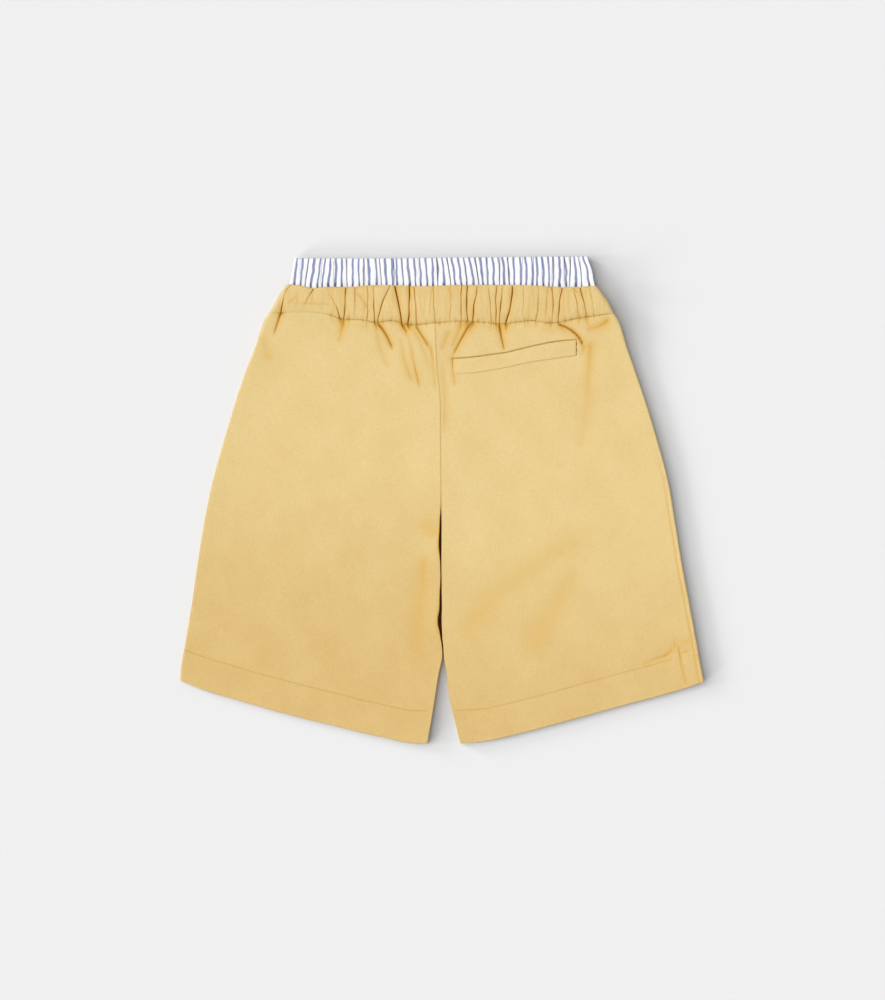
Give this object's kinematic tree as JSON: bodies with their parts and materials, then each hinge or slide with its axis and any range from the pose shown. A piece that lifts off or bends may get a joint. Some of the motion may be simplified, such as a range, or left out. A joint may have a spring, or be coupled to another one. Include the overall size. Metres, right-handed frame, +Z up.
{
  "type": "cotton shorts",
  "caption": "Child's pull-on cotton shorts laid flat with the back up, with an elasticated waist casing, a striped inner waistband, a welt pocket and turned-up hems.",
  "frame": {"origin": "on the surface the shorts lie on, under the middle of the whole outline", "axes": "+X across the garment from its left leg to its right leg, +Y from the hems to the waist, +Z up through the front and then the back"},
  "size_m": [0.3976, 0.37, 0.0088],
  "materials": {
    "ochre_twill": "soft matt cotton twill, yellow ochre",
    "striped_cotton": "matt white cotton with narrow blue stripes",
    "ochre_thread": "matt sewing thread, yellow ochre"
  },
  "bodies": {
    "root": {"back_left": "ochre_twill", "back_right": "ochre_twill", "front_left": "ochre_twill", "front_right": "ochre_twill", "waistband_back": "ochre_twill", "waistband_front": "ochre_twill", "striped_band_back": "striped_cotton", "striped_band_front": "striped_cotton", "pocket_welt": "ochre_twill"}
  },
  "joints": []
}
